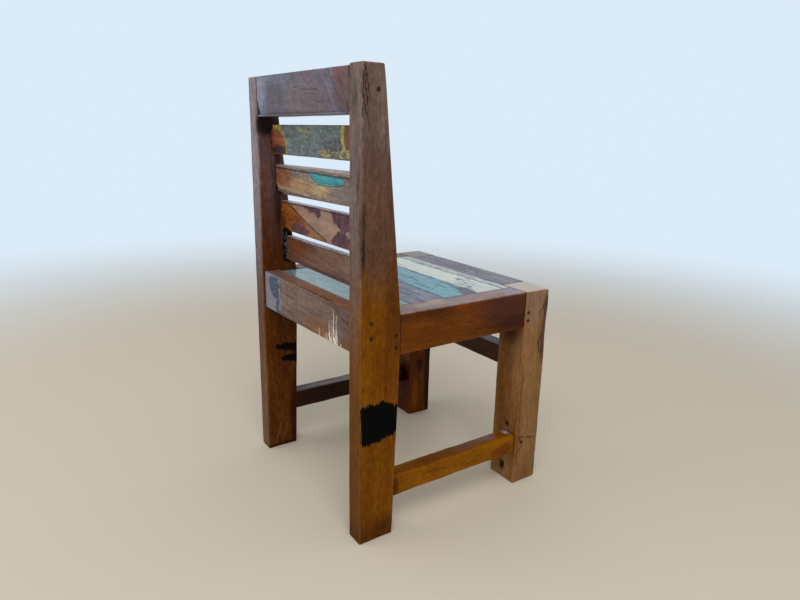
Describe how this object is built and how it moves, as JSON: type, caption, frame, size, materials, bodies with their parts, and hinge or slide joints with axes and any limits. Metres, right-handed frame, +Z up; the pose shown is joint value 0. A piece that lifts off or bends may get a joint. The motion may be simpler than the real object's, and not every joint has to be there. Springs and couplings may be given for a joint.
{
  "type": "low chair",
  "caption": "Low child's chair of reclaimed painted boards with a slatted back, boarded seat and square legs joined by rails.",
  "frame": {"origin": "on the floor under the middle of the chair", "axes": "+Z up, the sitter faces -Y, and +X is to the sitter's left"},
  "size_m": [0.33, 0.324, 0.6],
  "materials": {
    "post_wood": "varnished reddish brown hardwood, worn, with black paint patches",
    "leg_wood": "varnished tan brown hardwood, worn",
    "grey_rail_wood": "grey purple brown weathered wood under thin varnish, with old paint marks",
    "green_yellow_paint": "grey green paint peeled over yellow, satin",
    "ochre_slat_wood": "ochre brown wood with a turquoise paint patch, satin",
    "pink_gold_paint": "golden and pinkish tan wood with maroon paint remains, satin",
    "brown_slat_wood": "reddish brown varnished wood",
    "apron_wood": "reddish orange brown varnished wood with dark specks",
    "cream_paint": "cream paint peeling from grey wood",
    "teal_paint": "teal paint scratched down to dark wood",
    "purple_grey_paint": "grooved purple grey paint, worn",
    "pale_blue_paint": "pale blue paint, glossy where whole",
    "dark_rail_wood": "dark brown stained wood",
    "cleat_wood": "plain sawn wood",
    "nail_steel": "rusty dark steel"
  },
  "bodies": {
    "root": {"post_right": "post_wood", "post_left": "post_wood", "front_leg_right": "leg_wood", "front_leg_left": "leg_wood", "top_rail": "grey_rail_wood", "back_slat_1": "green_yellow_paint", "back_slat_2": "ochre_slat_wood", "back_slat_3": "pink_gold_paint", "back_slat_4": "brown_slat_wood", "back_rail": "grey_rail_wood", "apron_front": "purple_grey_paint", "apron_right": "apron_wood", "apron_left": "apron_wood", "seat_board_1": "cream_paint", "seat_board_2": "teal_paint", "seat_board_3": "purple_grey_paint", "seat_board_4": "pale_blue_paint", "cleat_right": "cleat_wood", "cleat_left": "cleat_wood", "front_rail": "dark_rail_wood", "stretcher_right": "apron_wood", "stretcher_left": "dark_rail_wood", "tenon_nails": "nail_steel", "rail_nails": "nail_steel", "cleat_nails": "nail_steel"}
  },
  "joints": []
}
